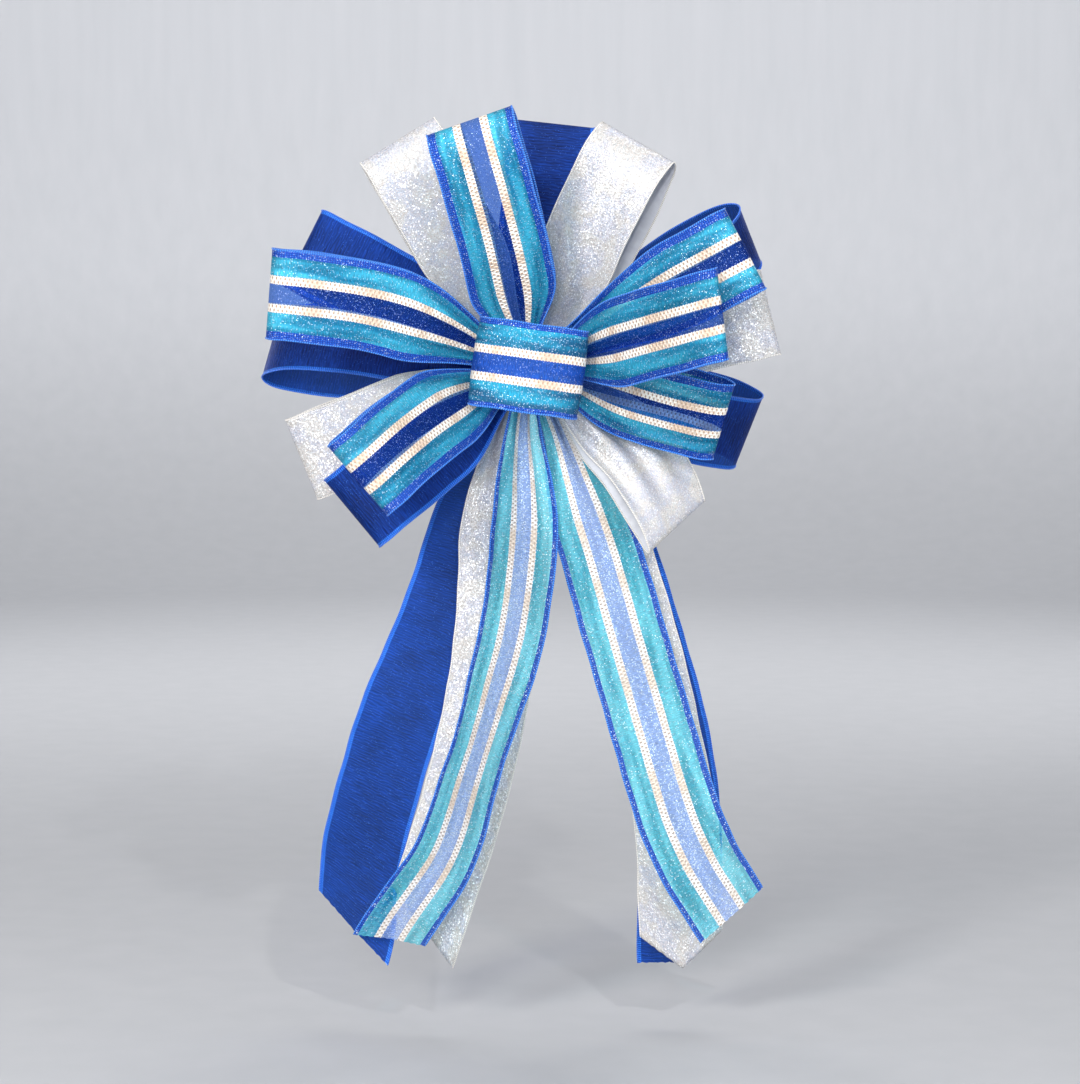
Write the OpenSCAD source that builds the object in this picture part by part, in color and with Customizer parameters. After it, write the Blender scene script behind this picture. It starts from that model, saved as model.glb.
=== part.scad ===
// Hand-tied gift bow made of three wired ribbons: a striped one in front, a white one in the middle
// and a sheer blue one behind. Seventeen loops and six tails fan out from one wire tie, and a small
// loop covers the tie in front.
// X runs to the right and Z up across the face of the bow, and the face looks toward -Y.
// The origin is the tie, where the back of the gathered ribbons rests on what the bow is tied to.

/* [Ribbon] */
// Width of each ribbon, over its wired edges
ribbon_w = 38; // [34:1:40]
// Thickness of the ribbon cloth
ribbon_t = 0.5; // [0.4:0.1:0.6]
// Width of each wired edge, measured across the ribbon
edge_w = 0.6; // [0.4:0.1:1]
// Thickness of each wired edge
edge_t = 0.8; // [0.7:0.1:0.9]

/* [Loops] */
// Reach of a long loop, from the tie to its fold
loop_reach = 116; // [108:1:118]
// Fullness of an open loop, between its two layers
loop_belly = 16; // [12:1:18]
// Share of the ribbon's width that is left where a loop is gathered
loop_gather = 0.3; // [0.25:0.01:0.35]
// Distance from the middle of the tie to the start of each loop
root_r = 7; // [7:0.5:8]
// Spacing of the gathered layers along the tie, from back to front
layer_pitch = 2.2; // [2.2:0.1:2.6]

/* [Centre loop] */
// Distance that the centre loop stands out in front of the tie
centre_reach = 32; // [26:1:34]
// Width of the centre loop from side to side
centre_belly = 46; // [38:1:48]

/* [Tails] */
// Length over which a tail opens out to its full width below the tie
tail_spread = 75; // [70:1:90]

/* [Tie wire] */
// Diameter of the cloth-covered tie wire
wire_d = 1; // [0.8:0.1:1]
// Length of each free end of the tie wire
wire_end_len = 40; // [25:1:60]
// Angle of each free end from straight back
wire_end_angle = 32; // [20:1:45]

/* [Hidden] */
$fn = 32;

striped_colour = [0.10, 0.55, 0.74];
white_colour = [0.86, 0.87, 0.90];
blue_colour = [0.05, 0.18, 0.62];
striped_edge_colour = [0.05, 0.33, 0.80];
white_edge_colour = [0.95, 0.95, 0.96];
blue_edge_colour = [0.08, 0.28, 0.82];
wire_colour = [0.12, 0.30, 0.20];

// Rings along a loop and along a tail
loop_rings = 28;
tail_rings = 26;
// Space between the two layers of a loop where they are pinched
pinch_gap = 0.8;
// Largest value of sin(a) * sin(a / 2)^2, which the loop's outline reaches at a = 120
outline_peak = sin(120) * pow(sin(60), 2);
// Smallest slope that a loop's outline is divided by
tiny = 0.000001;
// How sharply a tail's cut end leaves the straight part
cut_power = 6;
// Places across a ribbon, each [share of the half width, distance added to it, thickness there]:
// the two sides of the cloth, and the two sides of each wired edge
cloth_places = [[1, -edge_w, ribbon_t], [-1, edge_w, ribbon_t]];
edge_places = [
    [[1, 0, edge_t], [1, -edge_w, ribbon_t]],
    [[-1, edge_w, ribbon_t], [-1, 0, edge_t]]
];

// Gathered ribbons at the tie: radius, number of pleats and their depth
waist_r = 4.2;
pleats = 9;
pleat_depth = 0.2;
waist_steps = 72;
// Where the ribbons change along the tie, from back to front
blue_front_y = -10;
white_front_y = -18.5;
striped_front_y = -35;

// Tie wire: its clearance round the ribbons, half height of its ring, its back and front runs,
// its corners, the twist behind, and how its free ends stand apart and clear of the twist
wire_clearance = 0.05;
wire_half_h = waist_r + pleat_depth + wire_d / 2 + wire_clearance;
wire_back_y = 0.9;
wire_front_y = -37;
wire_corner_r = 1.6;
twist_len = 8;
twist_gap = 0.5;
end_apart = 0.7;

// One loop's shape. aim: its direction round the tie, from +X toward +Z. lift: how far it leans
// forward. roll: the turn about its own length. reach and belly: its length and its fullness.
// layer: its place along the tie, from the back. skew: slant of the fold. bend: sideways bow.
// spread: share of the reach at which it has its full width. gather: width left at its root.
function loop_shape(aim, lift, roll, reach, belly, layer, skew = 0, bend = 0, spread = 0.5,
                    gather = loop_gather, root = root_r) =
    [aim, lift, roll, reach, belly, layer, skew, bend, spread, gather, root];

centre_loop_shape = loop_shape(aim = 0, lift = 90, roll = -8, reach = centre_reach,
    belly = centre_belly, layer = 16, spread = 0.8, gather = 0.22, root = 0);

striped_loop_top_shape = loop_shape(aim = 103.5, lift = 22, roll = -4, reach = loop_reach - 2,
    belly = loop_belly, layer = 13.7, skew = -0.12, bend = -2, spread = 0.3);
striped_loop_right_shape = loop_shape(aim = 15.6, lift = 39.4, roll = -2,
    reach = loop_reach - 9, belly = loop_belly - 4, layer = 11.7, skew = 0.14);
striped_loop_left_shape = loop_shape(aim = 164, lift = 14, roll = -2, reach = loop_reach + 2,
    belly = loop_belly - 1, layer = 11.5, skew = -0.2, bend = -7);
striped_loop_upper_right_shape = loop_shape(aim = 28.8, lift = 27.5, roll = -2.5,
    reach = loop_reach, belly = loop_belly - 3.3, layer = 11.2, spread = 0.74);
striped_loop_lower_left_shape = loop_shape(aim = 213.5, lift = 36, roll = 0, reach = loop_reach - 12,
    belly = loop_belly, layer = 12, skew = -0.15, bend = -5);
striped_loop_lower_right_shape = loop_shape(aim = -15.5, lift = 18.3, roll = 28.3,
    reach = loop_reach - 25, belly = loop_belly - 7, layer = 10.2, skew = 0.12);

white_loop_lower_right_shape = loop_shape(aim = -47, lift = 3, roll = -28, reach = loop_reach - 21,
    belly = loop_belly - 7, layer = 9.9, bend = 9);
white_loop_upper_left_shape = loop_shape(aim = 120, lift = 13, roll = 4, reach = loop_reach,
    belly = loop_belly - 2, layer = 4);
white_loop_upper_right_shape = loop_shape(aim = 64, lift = 15, roll = -20, reach = loop_reach - 5,
    belly = loop_belly + 2, layer = 6);
white_loop_right_shape = loop_shape(aim = 13, lift = 13, roll = 0, reach = loop_reach - 6,
    belly = loop_belly - 4, layer = 4);
white_loop_lower_left_shape = loop_shape(aim = 202, lift = 10, roll = -4, reach = loop_reach - 7,
    belly = loop_belly - 4, layer = 1.5);

blue_loop_lower_left_shape = loop_shape(aim = 219.5, lift = 14, roll = 0, reach = loop_reach - 14,
    belly = loop_belly - 1, layer = 6.3);
blue_loop_top_shape = loop_shape(aim = 84.5, lift = 2, roll = 0, reach = loop_reach - 8,
    belly = loop_belly - 3, layer = 2.5);
blue_loop_upper_left_shape = loop_shape(aim = 152, lift = 8, roll = 8, reach = loop_reach - 3,
    belly = loop_belly - 4, layer = 0);
blue_loop_left_shape = loop_shape(aim = 175, lift = -8, roll = 38, reach = loop_reach + 2,
    belly = loop_belly + 2, layer = 0);
blue_loop_upper_right_shape = loop_shape(aim = 31.2, lift = -3, roll = 46, reach = loop_reach - 1,
    belly = loop_belly + 2, layer = 1.5);
blue_loop_lower_right_shape = loop_shape(aim = -16, lift = -7, roll = 27, reach = loop_reach - 12,
    belly = loop_belly + 2, layer = 0);

// Each tail's middle line, from the tie down: [x, y, z, turn about its own length].
// Its cut is the extra length at the left edge, at the middle and at the right edge.
striped_tail_left_route = [[-0.7, -19.6, -7, 0], [-2.5, -24.5, -30, 20], [-2, -28, -76, 36],
    [-7, -26, -112, 40], [-15.5, -23, -146, 46], [-25.5, -20, -180, 48], [-38, -16, -216, 44],
    [-57, -13, -247, 38]];
striped_tail_left_cut = [20, 9, 0];
striped_tail_right_route = [[2, -18.6, -6.7, 0], [13.6, -21, -28, -14], [30, -23, -76, -20],
    [43, -20, -120, -14], [52, -18, -150, -10], [65, -16, -194, -8], [76, -13, -220, -10],
    [90, -9, -243, -14]];
striped_tail_right_cut = [4, 2, 0];
white_tail_left_route = [[-2.5, -12.6, -6.6, 0], [-9, -12, -30, 4], [-12, -12, -64, 8],
    [-14, -9, -112, 10], [-20, -6, -154, 8], [-30, -3, -196, 6], [-44, 0, -240, 4]];
white_tail_left_cut = [0, 13, 26];
white_tail_right_route = [[3.4, -17.4, -6, 0], [17, -17.5, -32, -6], [35, -14, -80, -6],
    [50, -8, -130, -4], [59, -6, -168, -4], [66, -4, -204, -4], [68, -1, -243, -6]];
white_tail_right_cut = [12, 28, 12];
blue_tail_left_route = [[-4, -2, -5.8, 0], [-18, 1, -46, 4], [-37, 4, -106, 4],
    [-57, 6, -154, 2], [-66, 8, -182, 0], [-75, 9, -216, 6], [-78, 8, -240, 20]];
blue_tail_left_cut = [0, 15, 28];
blue_tail_right_route = [[4, -8.6, -5.8, 0], [16, -8, -32, -4], [37, -2, -80, -4],
    [53, 1, -130, -4], [63, 3, -168, -4], [68, 5, -204, -4], [68, 8, -246, -6]];
blue_tail_right_cut = [24, 24, 2];

function smooth(x) = let(c = min(1, max(0, x))) c * c * (3 - 2 * c);
function unit(v) = v / norm(v);

// Half the ribbon's width at share t of a loop's reach, or at length s below the tie on a tail
function loop_half_w(shape, t) = ribbon_w / 2 * (shape[9] + (1 - shape[9]) * smooth(t / shape[8]));
function tail_half_w(s) = ribbon_w / 2 * (loop_gather + (1 - loop_gather) * smooth(s / tail_spread));

// A point of a loop. a runs from 0 to 360 once round the loop, w across the ribbon,
// and rise is the distance from the ribbon's middle surface, toward the inside of the loop.
function loop_point(shape, a, w, rise) =
    let(
        t = (1 - cos(a)) / 2,
        length = shape[3] - shape[10],
        k = shape[4] / 2 / outline_peak,
        half_sin = sin(a / 2),
        half_cos = cos(a / 2),
        along_slope = length * sin(a) / 2,
        across_slope = -k * (cos(a) * half_sin * half_sin + sin(a) * half_sin * half_cos)
            + pinch_gap / 4 * half_sin,
        slope = max(norm([along_slope, across_slope]), tiny),
        along = shape[10] + length * t - rise * across_slope / slope,
        across = -k * sin(a) * half_sin * half_sin - pinch_gap / 2 * half_cos
            + rise * along_slope / slope
    )
    turn_about_tie(shape, along + shape[6] * w * t, across, w + shape[7] * sin(180 * t),
        shape[2] * smooth(t / shape[8]));

// Rolls, lifts and aims a point that is given along, through and across the ribbon
function turn_about_tie(shape, along, through, across, roll) =
    let(
        v = through * cos(roll) - across * sin(roll),
        w = through * sin(roll) + across * cos(roll),
        out = along * cos(shape[1]) + v * sin(shape[1]),
        y = v * cos(shape[1]) - along * sin(shape[1]) - shape[5] * layer_pitch
    )
    [out * cos(shape[0]) - w * sin(shape[0]), y, out * sin(shape[0]) + w * cos(shape[0])];

// Strip along a loop, between two places across it. Each place is [share of the half width,
// distance added to it, thickness there].
function loop_strip(shape, places) = [
    for (i = [0 : loop_rings])
        let(
            a = 360 * i / loop_rings,
            half = loop_half_w(shape, (1 - cos(a)) / 2)
        )
        concat(
            [for (p = places) loop_point(shape, a, p[0] * half + p[1], p[2] / 2)],
            [for (j = [len(places) - 1 : -1 : 0])
                let(p = places[j]) loop_point(shape, a, p[0] * half + p[1], -p[2] / 2)]
        )
];

// Smooth curve through the stations of a route, at place f along it
function curve_at(route, f) =
    let(
        last = len(route) - 1,
        j = min(floor(f), last - 1),
        r = f - j,
        p1 = route[j],
        p2 = route[j + 1],
        p0 = j > 0 ? route[j - 1] : 2 * p1 - p2,
        p3 = j + 2 <= last ? route[j + 2] : 2 * p2 - p1
    )
    (2 * p1 + (p2 - p0) * r + (2 * p0 - 5 * p1 + 4 * p2 - p3) * r * r
        + (3 * p1 - p0 - 3 * p2 + p3) * r * r * r) / 2;

function place_of(station) = [station[0], station[1], station[2]];
function curve_length(points, i) =
    i == 0 ? 0 : curve_length(points, i - 1) + norm(points[i] - points[i - 1]);

// Extra length at distance w across a tail whose half width is half
function cut_at(cut, w, half) = cut[1] + ((w < 0 ? cut[0] : cut[2]) - cut[1]) * abs(w) / half;

// Strip along a tail through the places across it that are listed, as for a loop
function tail_strip(route, cut, places) =
    let(
        stations = [for (i = [0 : tail_rings]) curve_at(route, i / tail_rings * (len(route) - 1))],
        points = [for (station = stations) place_of(station)],
        total = curve_length(points, tail_rings)
    )
    [
        for (i = [0 : tail_rings])
            let(
                tangent = unit(points[min(i + 1, tail_rings)] - points[max(i - 1, 0)]),
                level = unit([-tangent[2], 0, tangent[0]]),
                wide = level * cos(stations[i][3]) + cross(tangent, level) * sin(stations[i][3]),
                normal = cross(tangent, wide),
                s = curve_length(points, i),
                half = tail_half_w(s),
                reach = pow(s / total, cut_power),
                row = [for (p = places) let(w = p[0] * half + p[1])
                    points[i] + wide * w + tangent * cut_at(cut, w, half) * reach]
            )
            concat(
                [for (j = [0 : len(row) - 1]) row[j] - normal * places[j][2] / 2],
                [for (j = [len(row) - 1 : -1 : 0]) row[j] + normal * places[j][2] / 2]
            )
    ];

// Solid swept through rings of points, each a row on one side of the strip and then the same row
// back on the other side. Both sides are split along the same diagonals, so that a twisted strip
// keeps its thickness and strips side by side share the same triangles.
module sweep(rings) {
    count = len(rings);
    size = len(rings[0]);
    sides = [
        for (i = [0 : count - 2], j = [0 : size - 1])
            let(a = i * size + j, b = i * size + (j + 1) % size)
            each j < size / 2
                ? [[a, b + size, b], [a, a + size, b + size]]
                : [[a, a + size, b], [a + size, b + size, b]]
    ];
    caps = [
        for (j = [0 : size / 2 - 2])
            let(k = size - 1 - j, last = [1, 1, 1] * (count - 1) * size)
            each [[j, j + 1, k - 1], [j, k - 1, k], [j, k - 1, j + 1] + last, [j, k, k - 1] + last]
    ];
    polyhedron(points = [for (ring = rings) each ring], faces = concat(sides, caps), convexity = 8);
}

module loop_ribbon(shape) sweep(loop_strip(shape, cloth_places));
module loop_edge_wires(shape)
    for (places = edge_places) {
        sweep(loop_strip(shape, places));
    }

module tail_ribbon(route, cut)
    sweep(tail_strip(route, cut, [cloth_places[0], [0, 0, ribbon_t], cloth_places[1]]));
module tail_edge_wires(route, cut)
    for (places = edge_places) {
        sweep(tail_strip(route, cut, places));
    }

// Gathered ribbon between two places along the tie
module waist(back_y, front_y)
    translate([0, back_y, 0])
        rotate([90, 0, 0])
            linear_extrude(back_y - front_y)
                polygon([for (i = [0 : waist_steps - 1])
                    let(a = 360 * i / waist_steps, r = waist_r + pleat_depth * cos(pleats * a))
                    [r * cos(a), r * sin(a)]]);

module striped_waist() color(striped_colour) waist(white_front_y, striped_front_y);
module white_waist() color(white_colour) waist(blue_front_y, white_front_y);
module blue_waist() color(blue_colour) waist(0, blue_front_y);

// Straight length of wire from a point, upward at tilt 0 and toward +Y at tilt -90
module straight_wire(start, length, tilt)
    translate(start)
        rotate([tilt, 0, 0])
            cylinder(d = wire_d, h = length);

// Quarter turn of wire at a corner of the ring, turned by start degrees about its centre
module wire_corner(centre_y, centre_z, start)
    translate([0, centre_y, centre_z])
        rotate([start, 0, 0])
            rotate([0, 90, 0])
                rotate_extrude(angle = 90)
                    translate([wire_corner_r, 0])
                        circle(d = wire_d);

module tie_wire() color(wire_colour) {
    low_y = wire_front_y + wire_corner_r;
    high_y = wire_back_y - wire_corner_r;
    in_z = wire_half_h - wire_corner_r;
    for (side = [-1, 1]) {
        straight_wire([0, low_y, side * wire_half_h], high_y - low_y, -90);
    }
    for (y = [wire_front_y, wire_back_y]) {
        straight_wire([0, y, -in_z], 2 * in_z, 0);
    }
    wire_corner(high_y, in_z, 90);
    wire_corner(low_y, in_z, 180);
    wire_corner(low_y, -in_z, 270);
    wire_corner(high_y, -in_z, 0);
    translate([0, wire_back_y, 0])
        rotate([-90, 0, 0])
            cylinder(d = 2 * wire_d, h = twist_len);
}

// Free end of the tie wire, behind the twist. side is -1 for the left and 1 for the right
module wire_end(side)
    translate([side * end_apart, wire_back_y + twist_len + twist_gap, 0])
        rotate([-90, 0, -side * wire_end_angle])
            cylinder(d = wire_d, h = wire_end_len);

module tie_wire_end_left() color(wire_colour) wire_end(-1);
module tie_wire_end_right() color(wire_colour) wire_end(1);

module centre_loop() color(striped_colour) loop_ribbon(centre_loop_shape);
module centre_loop_edge_wires() color(striped_edge_colour) loop_edge_wires(centre_loop_shape);

// Loops: each has its ribbon and the pair of wired edges that shape it
module striped_loop_top() color(striped_colour) loop_ribbon(striped_loop_top_shape);
module striped_loop_top_edge_wires()
    color(striped_edge_colour) loop_edge_wires(striped_loop_top_shape);
module striped_loop_right() color(striped_colour) loop_ribbon(striped_loop_right_shape);
module striped_loop_right_edge_wires()
    color(striped_edge_colour) loop_edge_wires(striped_loop_right_shape);
module striped_loop_left() color(striped_colour) loop_ribbon(striped_loop_left_shape);
module striped_loop_left_edge_wires()
    color(striped_edge_colour) loop_edge_wires(striped_loop_left_shape);
module striped_loop_upper_right() color(striped_colour) loop_ribbon(striped_loop_upper_right_shape);
module striped_loop_upper_right_edge_wires()
    color(striped_edge_colour) loop_edge_wires(striped_loop_upper_right_shape);
module striped_loop_lower_left() color(striped_colour) loop_ribbon(striped_loop_lower_left_shape);
module striped_loop_lower_left_edge_wires()
    color(striped_edge_colour) loop_edge_wires(striped_loop_lower_left_shape);
module striped_loop_lower_right() color(striped_colour) loop_ribbon(striped_loop_lower_right_shape);
module striped_loop_lower_right_edge_wires()
    color(striped_edge_colour) loop_edge_wires(striped_loop_lower_right_shape);
module white_loop_lower_right() color(white_colour) loop_ribbon(white_loop_lower_right_shape);
module white_loop_lower_right_edge_wires()
    color(white_edge_colour) loop_edge_wires(white_loop_lower_right_shape);
module white_loop_upper_left() color(white_colour) loop_ribbon(white_loop_upper_left_shape);
module white_loop_upper_left_edge_wires()
    color(white_edge_colour) loop_edge_wires(white_loop_upper_left_shape);
module white_loop_upper_right() color(white_colour) loop_ribbon(white_loop_upper_right_shape);
module white_loop_upper_right_edge_wires()
    color(white_edge_colour) loop_edge_wires(white_loop_upper_right_shape);
module white_loop_right() color(white_colour) loop_ribbon(white_loop_right_shape);
module white_loop_right_edge_wires()
    color(white_edge_colour) loop_edge_wires(white_loop_right_shape);
module white_loop_lower_left() color(white_colour) loop_ribbon(white_loop_lower_left_shape);
module white_loop_lower_left_edge_wires()
    color(white_edge_colour) loop_edge_wires(white_loop_lower_left_shape);
module blue_loop_lower_left() color(blue_colour) loop_ribbon(blue_loop_lower_left_shape);
module blue_loop_lower_left_edge_wires()
    color(blue_edge_colour) loop_edge_wires(blue_loop_lower_left_shape);
module blue_loop_top() color(blue_colour) loop_ribbon(blue_loop_top_shape);
module blue_loop_top_edge_wires()
    color(blue_edge_colour) loop_edge_wires(blue_loop_top_shape);
module blue_loop_upper_left() color(blue_colour) loop_ribbon(blue_loop_upper_left_shape);
module blue_loop_upper_left_edge_wires()
    color(blue_edge_colour) loop_edge_wires(blue_loop_upper_left_shape);
module blue_loop_left() color(blue_colour) loop_ribbon(blue_loop_left_shape);
module blue_loop_left_edge_wires()
    color(blue_edge_colour) loop_edge_wires(blue_loop_left_shape);
module blue_loop_upper_right() color(blue_colour) loop_ribbon(blue_loop_upper_right_shape);
module blue_loop_upper_right_edge_wires()
    color(blue_edge_colour) loop_edge_wires(blue_loop_upper_right_shape);
module blue_loop_lower_right() color(blue_colour) loop_ribbon(blue_loop_lower_right_shape);
module blue_loop_lower_right_edge_wires()
    color(blue_edge_colour) loop_edge_wires(blue_loop_lower_right_shape);

// Tails
module striped_tail_left()
    color(striped_colour) tail_ribbon(striped_tail_left_route, striped_tail_left_cut);
module striped_tail_left_edge_wires()
    color(striped_edge_colour) tail_edge_wires(striped_tail_left_route, striped_tail_left_cut);
module striped_tail_right()
    color(striped_colour) tail_ribbon(striped_tail_right_route, striped_tail_right_cut);
module striped_tail_right_edge_wires()
    color(striped_edge_colour) tail_edge_wires(striped_tail_right_route, striped_tail_right_cut);
module white_tail_left()
    color(white_colour) tail_ribbon(white_tail_left_route, white_tail_left_cut);
module white_tail_left_edge_wires()
    color(white_edge_colour) tail_edge_wires(white_tail_left_route, white_tail_left_cut);
module white_tail_right()
    color(white_colour) tail_ribbon(white_tail_right_route, white_tail_right_cut);
module white_tail_right_edge_wires()
    color(white_edge_colour) tail_edge_wires(white_tail_right_route, white_tail_right_cut);
module blue_tail_left()
    color(blue_colour) tail_ribbon(blue_tail_left_route, blue_tail_left_cut);
module blue_tail_left_edge_wires()
    color(blue_edge_colour) tail_edge_wires(blue_tail_left_route, blue_tail_left_cut);
module blue_tail_right()
    color(blue_colour) tail_ribbon(blue_tail_right_route, blue_tail_right_cut);
module blue_tail_right_edge_wires()
    color(blue_edge_colour) tail_edge_wires(blue_tail_right_route, blue_tail_right_cut);

striped_waist();
white_waist();
blue_waist();
tie_wire();
centre_loop();
centre_loop_edge_wires();
tie_wire_end_left();
tie_wire_end_right();
striped_loop_top();
striped_loop_top_edge_wires();
striped_loop_right();
striped_loop_right_edge_wires();
striped_loop_left();
striped_loop_left_edge_wires();
striped_loop_upper_right();
striped_loop_upper_right_edge_wires();
striped_loop_lower_left();
striped_loop_lower_left_edge_wires();
striped_loop_lower_right();
striped_loop_lower_right_edge_wires();
white_loop_lower_right();
white_loop_lower_right_edge_wires();
white_loop_upper_left();
white_loop_upper_left_edge_wires();
white_loop_upper_right();
white_loop_upper_right_edge_wires();
white_loop_right();
white_loop_right_edge_wires();
white_loop_lower_left();
white_loop_lower_left_edge_wires();
blue_loop_lower_left();
blue_loop_lower_left_edge_wires();
blue_loop_top();
blue_loop_top_edge_wires();
blue_loop_upper_left();
blue_loop_upper_left_edge_wires();
blue_loop_left();
blue_loop_left_edge_wires();
blue_loop_upper_right();
blue_loop_upper_right_edge_wires();
blue_loop_lower_right();
blue_loop_lower_right_edge_wires();
striped_tail_left();
striped_tail_left_edge_wires();
striped_tail_right();
striped_tail_right_edge_wires();
white_tail_left();
white_tail_left_edge_wires();
white_tail_right();
white_tail_right_edge_wires();
blue_tail_left();
blue_tail_left_edge_wires();
blue_tail_right();
blue_tail_right_edge_wires();
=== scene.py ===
import math

import bpy
import numpy as np
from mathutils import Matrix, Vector


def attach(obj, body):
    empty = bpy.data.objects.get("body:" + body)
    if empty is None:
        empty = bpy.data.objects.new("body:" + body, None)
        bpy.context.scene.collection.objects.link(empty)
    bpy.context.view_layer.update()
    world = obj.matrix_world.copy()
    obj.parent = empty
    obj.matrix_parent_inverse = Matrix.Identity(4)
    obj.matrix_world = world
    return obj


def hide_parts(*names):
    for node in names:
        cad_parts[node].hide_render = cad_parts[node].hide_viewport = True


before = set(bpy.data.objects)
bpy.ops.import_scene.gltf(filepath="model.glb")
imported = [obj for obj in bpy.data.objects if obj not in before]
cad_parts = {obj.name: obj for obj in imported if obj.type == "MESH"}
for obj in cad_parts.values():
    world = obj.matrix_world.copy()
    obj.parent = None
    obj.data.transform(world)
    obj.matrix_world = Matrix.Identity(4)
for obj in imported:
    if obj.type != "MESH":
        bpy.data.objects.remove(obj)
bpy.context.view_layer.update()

# The bow's shapes below are in millimetres, as in the part's source, and MM turns them into metres.
MM = 0.001
# Width of each ribbon over its wired edges, and thickness of the cloth that has a back of its own
RIBBON_W = 38.0
CLOTH_T = 0.3
# Radius of the wound edge wires, and of the tie wire
WIRE_R = 0.38
TIE_WIRE_R = 0.48
# Radius of the bundle of gathered ribbons inside the tie, and spacing of the layers along it
WAIST_R = 4.2
LAYER_PITCH = 2.2
# Gap that is left between a loop's two layers at its root, and the usual start of a loop
PINCH_GAP = 0.8
LOOP_ROOT = 7
# Share of the width that is left where a ribbon is gathered, and the length in which a tail spreads
GATHER = 0.3
TAIL_SPREAD = 75.0
# Greatest value of sin(a) sin(a/2)^2, which shapes a loop's outline and is reached at 120 degrees
OUTLINE_PEAK = math.sin(math.radians(120)) * math.sin(math.radians(60)) ** 2
# A turn, for the phases of the waves that are drawn at random
TURN = 6.3

# Loops: aim, lift and roll in degrees, reach, belly, layer, then what differs from the usual loop:
# skew and bend shift the cloth sideways, spread is the share of the length in which the gathers open
LOOPS = {
    "centre_loop": (0, 90, -8, 32, 46, 16, dict(spread=0.8, gather=0.22, root=0)),
    "striped_loop_top": (103.5, 22, -4, 114, 16, 13.7, dict(skew=-0.12, bend=-2, spread=0.3)),
    "striped_loop_right": (15.6, 39.4, -2, 107, 12, 11.7, dict(skew=0.14)),
    "striped_loop_left": (164, 14, -2, 118, 15, 11.5, dict(skew=-0.2, bend=-7)),
    "striped_loop_upper_right": (28.8, 27.5, -2.5, 116, 12.7, 11.2, dict(spread=0.74)),
    "striped_loop_lower_left": (213.5, 36, 0, 104, 16, 12, dict(skew=-0.15, bend=-5)),
    "striped_loop_lower_right": (-15.5, 18.3, 28.3, 91, 9, 10.2, dict(skew=0.12)),
    "white_loop_lower_right": (-47, 3, -28, 95, 9, 9.9, dict(bend=9)),
    "white_loop_upper_left": (120, 13, 4, 116, 14, 4, {}),
    "white_loop_upper_right": (64, 15, -20, 111, 18, 6, {}),
    "white_loop_right": (13, 13, 0, 110, 12, 4, {}),
    "white_loop_lower_left": (202, 10, -4, 109, 12, 1.5, {}),
    "blue_loop_lower_left": (219.5, 14, 0, 102, 15, 6.3, {}),
    "blue_loop_top": (84.5, 2, 0, 108, 13, 2.5, {}),
    "blue_loop_upper_left": (152, 8, 8, 113, 12, 0, {}),
    "blue_loop_left": (175, -8, 38, 118, 18, 0, {}),
    "blue_loop_upper_right": (31.2, -3, 46, 115, 18, 1.5, {}),
    "blue_loop_lower_right": (-16, -7, 27, 104, 18, 0, {}),
}
# Tails: [x, y, z, turn] down the middle line, and what the slanting cut adds at the left edge, the
# middle and the right edge
TAILS = {
    "striped_tail_left": ([[-0.7, -19.6, -7, 0], [-2.5, -24.5, -30, 20], [-2, -28, -76, 36],
        [-7, -26, -112, 40], [-15.5, -23, -146, 46], [-25.5, -20, -180, 48], [-38, -16, -216, 44],
        [-57, -13, -247, 38]], [20, 9, 0]),
    "striped_tail_right": ([[2, -18.6, -6.7, 0], [13.6, -21, -28, -14], [30, -23, -76, -20],
        [43, -20, -120, -14], [52, -18, -150, -10], [65, -16, -194, -8], [76, -13, -220, -10],
        [90, -9, -243, -14]], [4, 2, 0]),
    "white_tail_left": ([[-2.5, -12.6, -6.6, 0], [-9, -12, -30, 4], [-12, -12, -64, 8],
        [-14, -9, -112, 10], [-20, -6, -154, 8], [-30, -3, -196, 6], [-44, 0, -240, 4]], [0, 13, 26]),
    "white_tail_right": ([[3.4, -17.4, -6, 0], [17, -17.5, -32, -6], [35, -14, -80, -6],
        [50, -8, -130, -4], [59, -6, -168, -4], [66, -4, -204, -4], [68, -1, -243, -6]], [12, 28, 12]),
    "blue_tail_left": ([[-4, -2, -5.8, 0], [-18, 1, -46, 4], [-37, 4, -106, 4],
        [-57, 6, -154, 2], [-66, 8, -182, 0], [-75, 9, -216, 6], [-78, 8, -240, 20]], [0, 15, 28]),
    "blue_tail_right": ([[4, -8.6, -5.8, 0], [16, -8, -32, -4], [37, -2, -80, -4],
        [53, 1, -130, -4], [63, 3, -168, -4], [68, 5, -204, -4], [68, 8, -246, -6]], [24, 24, 2]),
}
# Lengthwise folds that run out to the tip of a loop: depth in mm, number, and place across
TIP_FOLDS = {"white_loop_lower_right": (1.9, 1.35, 0.1), "white_loop_upper_right": (0.9, 0.8, 0.3),
             "striped_loop_lower_left": (0.5, 1.2, 0.2)}


# ---------------------------------------------------------------- cloth shapes

def smooth(x):
    """An even rise from 0 at 0 to 1 at 1."""
    c = np.clip(x, 0, 1)
    return c * c * (3 - 2 * c)


def phases(name, count):
    """Numbers from 0 to 1 that differ from piece to piece and stay the same from run to run."""
    seed = sum((i + 1) * ord(ch) for i, ch in enumerate(name))
    return np.random.RandomState(seed).rand(count)


def pleats(u, ease, f):
    """Height of the gathers across a ribbon; ease runs from 1 at the tie to 0 where they have faded."""
    fine_count, wide_count, fine_share, fine_fades_at = 2.4, 1.35, 0.4, 0.45
    fine = np.cos(2 * np.pi * (fine_count * u + f[0])) * smooth((ease - fine_fades_at) / (1 - fine_fades_at))
    wide = np.cos(2 * np.pi * (wide_count * u + f[1]) + 0.8 * u * u) * smooth(ease)
    return fine_share * fine + (1 - fine_share) * wide


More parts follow.
